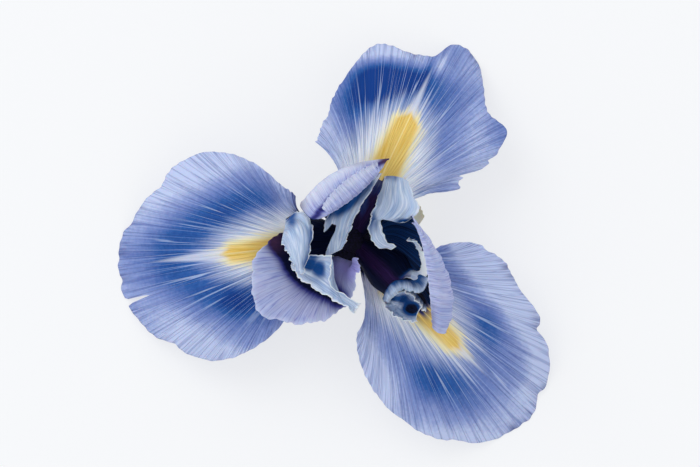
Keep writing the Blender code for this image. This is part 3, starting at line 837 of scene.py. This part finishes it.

# How far the two sides of the roof are spread (anticlockwise, clockwise); how far past the fork
# the arm stays painted dark, as shade; how strong the violet flush on its keel is; where its crest
# is torn, between the edge of a tooth and that of a finger (y, then x); a line that it is painted
# deep blue along, as shade; and where else it is painted deep blue as shade, or near white as a
# painted highlight where negative (x, half width, y, half depth, amount)
STYLE_TINTS = {
    "style_arm_top": (
        (1.3, 1.7), 0.03, 0.8,
        (
            ((0.6, 2.1, 4.1), (-7.2, -6.7, -5)),
            ((-3.8, -2.5, 0, 2.5, 3.7, 4.1), (-6.7, -6.3, -5.3, -4, -3.8, -5)),
        ),
        ((-7.4, 6.5), (-4, 7.4), (0.4, 10), (4, 14)),
        (
            (13.4, 2.6, 4.6, 0.9, 1.0), (10, 3.6, 15.8, 2, 0.5), (5.2, 1.4, 5, 4, 0.6),
            (-4.5, 2, 6, 2, 0.3), (13.6, 1.8, 10, 4, -0.5), (8.6, 2, 9, 3.4, -0.5),
            (-2.6, 2.2, -1, 4, -0.9), (3, 1.6, 9, 3, -0.6), (8, 2, -1.5, 2, -0.9),
        ),
    ),
    "style_arm_left": (
        (1.5, 2.2), 0.03, 0, None,
        ((-9, 2), (-9.3, -2), (-9.6, -3.6), (-10.6, -6)),
        (
            (-15, 1.8, 5, 2.4, 0.5), (-16.6, 1.2, -1, 4, 0.35), (-8.2, 2.6, -7.2, 3.2, 0.72),
            (-12.8, 1.4, -1, 4, -0.3), (-12.6, 1.6, -8.8, 2, -0.9), (-3, 2, -14, 2, -0.5),
            (-17, 2, 7, 1.4, 1.4), (-5.4, 1, -6.5, 3.4, -0.6),
        ),
    ),
    "style_arm_right": (
        (1.75, 1.15), 0.12, 0.9, None, None,
        (
            (11.6, 3.4, -14.4, 1.3, 0.75), (15, 2.2, -17.2, 1.7, 1.6), (9.4, 1.2, -17.2, 1.4, 0.3),
            (18.2, 1.7, -5.4, 5, -1.1), (11, 1.6, -16.4, 1, -0.4), (17.8, 0.8, -18.6, 1.6, -1.4),
        ),
    ),
}


def roof_rail(azimuth, side, keel, spread):
    """One edge of a style arm's roof, on its keel or on its outer margin.

    The keel lies at its own height. A margin lies half the width times the spread from it, and
    hangs below it by the hang times the spread.
    """
    out, height, half, hang = np.array(ROOF).T
    spread = spread * np.array(ROOF_TAPER)
    left = side * half * (KEEL_HALF if keel else spread)
    return around(azimuth, out, left, height - (0 if keel else hang * spread))


def half_arm(slit, outer, bow, t, v):
    """Half of a style arm: an arc across it at every distance v along its two rails.

    The arcs stand square to the way that the rails run, which is the step between two points a
    little before and a little after v.
    """
    step = 1e-3
    travel = sum(through(rail, v + step) - through(rail, v - step) for rail in (slit, outer))
    bow = through(bow, (v - FORK) / (1 - FORK))
    return between(through(slit, v), through(outer, v), bow, t, travel)


def centres(corners):
    """The middle of each cell of a grid: the mean of its four corners."""
    ends = corners[:-1, :-1] + corners[1:, :-1] + corners[1:, 1:] + corners[:-1, 1:]
    return 0.25 * ends


ice = Finish("crest_tissue", {
    "Roughness": 0.5, "Specular IOR Level": 0.08, "Subsurface Weight": 0.1,
    "Subsurface Scale": 0.0003,
})
across, along = ice.read("veins")[:2]
margin, painted_light, warm = ice.read("tones")
veins = ice.node("ShaderNodeCombineXYZ", {0: across, 1: along})
streaks = ice.noise(veins, (14, 1.3, 1), 3)
threads = ice.noise(veins, (50, 3, 1), 3)
ridge = abs(ice.noise(veins, (15, 0.8, 1), 1) - 0.5).rise(0.05, 0)
fold_shading = ice.noise(veins, (2.6, 0.9, 1), 1)
# Ice blue, striated, then painted light: near white as a highlight where the painted shade is below
# 0, deep blue and almost black as it deepens, with soft painted shading of the folds
crest = ice.blend(streaks.rise(0.3, 0.7), paint(172, 194, 227), paint(222, 232, 247))
crest = ice.blend(ridge * 0.25 + threads.rise(0.6, 0.35) * 0.3, crest, paint(104, 138, 192))
shadow = painted_light + (streaks - 0.5) * 0.3 + (fold_shading - 0.5) * 0.7
crest = ice.blend(shadow.rise(0, -0.7), crest, paint(240, 245, 252))
crest = ice.blend(shadow.rise(0.1, 0.7), crest, paint(20, 74, 140))
crest = ice.blend(shadow.rise(0.75, 1.15), crest, ice.blend(
    threads.rise(0.3, 0.7), paint(4, 8, 26), paint(14, 26, 62)))
crest = ice.blend(warm * threads.rise(0.3, 0.6), crest, paint(66, 38, 96))
hem = (margin + threads * 0.8).rise(0.85, 0.35) * along.rise(1.05, 1.3)
crest = ice.blend(hem, crest, paint(240, 246, 253))
crest_tissue = ice.surface({
    "Base Color": crest,
    "Normal": ice.bump(ridge * -0.6 + threads * 0.6 + streaks * 0.5, 0.12),
})

for name, (azimuth, outer_ccw, slit_ccw, slit_cw, outer_cw, bows) in STYLE_ARMS.items():
    spreads, roof_shade_reach, flush, tear, shade_line, shadows = STYLE_TINTS[name]
    rails = [
        np.concatenate([roof_rail(azimuth, side, keel, spreads[side < 0]), crest_rail])
        for side, keel, crest_rail in (
            (1, False, outer_ccw), (1, True, slit_ccw), (-1, True, slit_cw), (-1, False, outer_cw),
        )
    ]
    t, v = grid(0, HALF_ROWS, ARM_STEPS + 1)
    clockwise = half_arm(rails[2], rails[3], bows[1], t, v)[::-1]
    anticlockwise = half_arm(rails[1], rails[0], bows[0], t, v)
    arm = np.concatenate([clockwise, anticlockwise])
    width = np.linalg.norm(np.concatenate([
        through(rails[3], v) - through(rails[2], v), through(rails[0], v) - through(rails[1], v),
    ]), axis=-1)

    t, v = np.concatenate([t[::-1], t]), np.concatenate([v, v])
    side = np.repeat([-1.0, 1.0], HALF_ROWS)[:, None] + 0 * v
    slit_edge = np.where(v > FORK, t * width, 9)  # past the fork the slit side is a margin too
    margin = np.minimum(np.minimum((1 - t) * width, slit_edge), (1 - v) * 40)
    frill = bell(margin, 0, 0.8) * np.clip((v - FORK) * 4, 0, 1)
    ruffle = 0.3 * np.sin(47 * v + 2 * side) + 0.18 * np.sin(90 * v + 5 * side)
    ruffle += 0.12 * np.sin(163 * v)
    arm = arm + (frill * ruffle)[..., None] * (0.7, 0.5, 0.8)
    pleats = np.sin(2.6 * t * width + 2 * np.sin(7 * v) + side) * np.clip((v - FORK) * 3, 0, 1)
    arm[..., 2] += 0.22 * pleats * np.clip(margin, 0, 1)

    # The slit between the crests, and the tear in one of them, are cells left out
    keep = np.ones((2 * HALF_ROWS - 1, ARM_STEPS), bool)
    keep[HALF_ROWS - 1, int(FORK * ARM_STEPS):] = False
    x, y = arm[..., 0], arm[..., 1]
    if tear is not None:
        tooth, finger = (np.array(line, float) for line in tear)
        mid_x, mid_y = centres(x), centres(y)
        torn = (mid_x > np.interp(mid_y, *tooth)) & (mid_x < np.interp(mid_y, *finger))
        torn &= mid_y < tooth[0].max()
        torn[:HALF_ROWS] = False
        keep &= ~torn
    # Painted shade: dark over the roof to a little past the fork, deep blue at the marks and along
    # the shade line; marks below 0 paint a near-white highlight
    painted_light = np.clip((FORK + roof_shade_reach - v) * 7, 0, 1.2) + spots(x, y, shadows)
    if shade_line is not None:
        painted_light = np.maximum(painted_light, 0.75 * beside(arm[..., :2], shade_line, 2.2))
    warm = flush * bell(t * width, 0, 1.2) * (v < FORK + 0.1)
    crests = skin(
        name, arm, CREST_THICK * np.clip(0.4 + margin, 0, 1), keep, [HALF_ROWS],
        veins=(side * (t + 0.3), v * 3, 0),
        tones=(margin, painted_light, warm),
    )
    put(name + "_petal", crests, name, crest_tissue)

# The hood of the right arm's scroll joins its two crests: its free edge, its top, its back and its
# foot, each from the side standard round to the scroll's own tip
HOOD = (
    (
        (19, -9.8, 39.4), (17.4, -12.8, 38.2), (15.3, -12.9, 37.4), (12.9, -12.3, 37),
        (11.7, -12.9, 36.6), (9.8, -14.6, 35.4), (9.2, -15.6, 34.4),
    ),
    (
        (19, -9.4, 39.6), (17.6, -12.2, 38.8), (15.4, -12.1, 38.3), (13, -11.4, 38),
        (11.3, -11.9, 37.6), (9.3, -13.8, 36.5), (8.6, -15.3, 35.2),
    ),
    (
        (18, -9, 38.2), (16.6, -10.9, 37.2), (14.8, -10.8, 36.4), (12.8, -10.2, 36),
        (10.6, -10.6, 35.4), (8.8, -12.6, 34.6), (8, -15, 33.6),
    ),
    (
        (15.8, -8, 31), (14.6, -9, 30.5), (13.3, -9.6, 30), (11.6, -10, 29.5),
        (10, -10.6, 29.2), (8.6, -12.4, 29), (7.8, -14.4, 29.2),
    ),
)
s, t = grid(0, 161, 61)
hood = through(np.moveaxis(through(HOOD, t[0]), 0, 1), s[:, 0])
margin = 8 * t
frill = bell(margin, 0, 0.8) * (0.2 * np.sin(40 * s) + 0.14 * np.sin(77 * s))
hood = hood + frill[..., None] * (0.4, 0.8, 0.5)
# Painted shade, deepening from the free edge to near black at the foot
painted_light = np.interp(t, (0.1, 0.4, 0.7, 1), (0.1, 0.3, 0.6, 1.3))
hood_mesh = skin(
    "style_arm_right_hood", hood, CREST_THICK * np.clip(0.4 + margin, 0, 1),
    veins=(4 * s, 2 + t, 0),
    tones=(margin, painted_light, 0),
)
put("style_arm_right_hood", hood_mesh, "style_arm_right", crest_tissue)


# -------------------------------------------------------------------------------------- The stamens
# A stamen lies between each fall and the style arm over it: a slim pale stalk rooted in the tube
# and a long flat anther of two pollen sacs, creamy and powdery, joined to the end of the stalk.

STAMEN = (  # distance out, height, half width and half thickness
    (3.5, 11.7, 0.5, 0.5), (3.6, 12.3, 0.5, 0.5), (4.8, 13.2, 0.45, 0.45), (7.5, 14.8, 0.4, 0.4),
    (9, 16.0, 0.85, 0.5), (12, 17.9, 0.95, 0.55), (14.6, 19.4, 0.75, 0.45),
    (15.6, 20.0, 0.15, 0.15),
)
powdery = Finish("anther_pollen", {"Roughness": 0.85})
where = powdery.place()
grains = powdery.noise(where, (3800, 3800, 3800), 3)
cream = powdery.blend(grains.rise(0.35, 0.65), paint(206, 184, 120), paint(240, 226, 176))
anther_pollen = powdery.surface({"Base Color": cream, "Normal": powdery.bump(grains, 0.1)})
for node, azimuth in (("stamen_top", TOP), ("stamen_left", LEFT), ("stamen_right", RIGHT)):
    out, height, wide, deep = through(STAMEN, np.linspace(0, 1, 60)).T
    steep = np.arctan2(np.gradient(height), np.gradient(out))[:, None]
    turn = np.linspace(0, 2 * math.pi, 24, endpoint=False)
    sacs = 1 + 0.16 * np.cos(2 * turn) * np.clip((wide - 0.5) * 4, 0, 1)[:, None]
    sideways = wide[:, None] * np.cos(turn) * sacs
    upward = deep[:, None] * np.sin(turn) * sacs
    rings = around(
        azimuth, out[:, None] - upward * np.sin(steep), -sideways,
        height[:, None] + upward * np.cos(steep),
    )
    put(node + "_anther", loft(node, rings), node, anther_pollen)


# ---------------------------------------------------------------------------- Table, light, camera
# A plain white table lit softly from all round, with the camera straight above the flower.

VIEW_WIDTH = 0.175  # metres that the camera takes in, at the look height
VIEW_OFFSET = (-0.0005, 0.001625)  # from the flower's axis to the middle of the view
CAMERA_HEIGHT = 3.5
LOOK_HEIGHT = 0.015
FILM_WIDTH = 36

bpy.ops.mesh.primitive_plane_add(size=40)
table = bpy.context.object
table.name = "table"
white = Finish("table_white", {
    "Base Color": paint(150, 151, 153), "Roughness": 0.9, "Specular IOR Level": 0.1,
    "Emission Color": (0.985, 0.99, 1, 1), "Emission Strength": 0.64,
})
table.data.materials.append(white.material)

sky = bpy.data.worlds.new("soft_room")
sky.use_nodes = True
sky.node_tree.nodes["Background"].inputs["Color"].default_value = (0.96, 0.98, 1, 1)
sky.node_tree.nodes["Background"].inputs["Strength"].default_value = 0.85
bpy.context.scene.world = sky

lamp = bpy.data.lights.new("window", "AREA")
lamp.shape, lamp.size, lamp.energy = "DISK", 1.2, 7.0
window = bpy.data.objects.new("window", lamp)
window.location = (-0.7, 0.8, 1.3)
window.rotation_euler = (math.radians(-34), math.radians(-28), 0)
bpy.context.scene.collection.objects.link(window)

camera = bpy.data.cameras.new("camera")
camera.sensor_width = FILM_WIDTH
camera.lens = FILM_WIDTH * (CAMERA_HEIGHT - LOOK_HEIGHT) / VIEW_WIDTH
camera.clip_end = 100
eye = bpy.data.objects.new("camera", camera)
eye.location = (AXIS[0] + VIEW_OFFSET[0], AXIS[1] + VIEW_OFFSET[1], CAMERA_HEIGHT)
bpy.context.scene.collection.objects.link(eye)
bpy.context.scene.camera = eye
bpy.context.scene.view_settings.view_transform = "Standard"
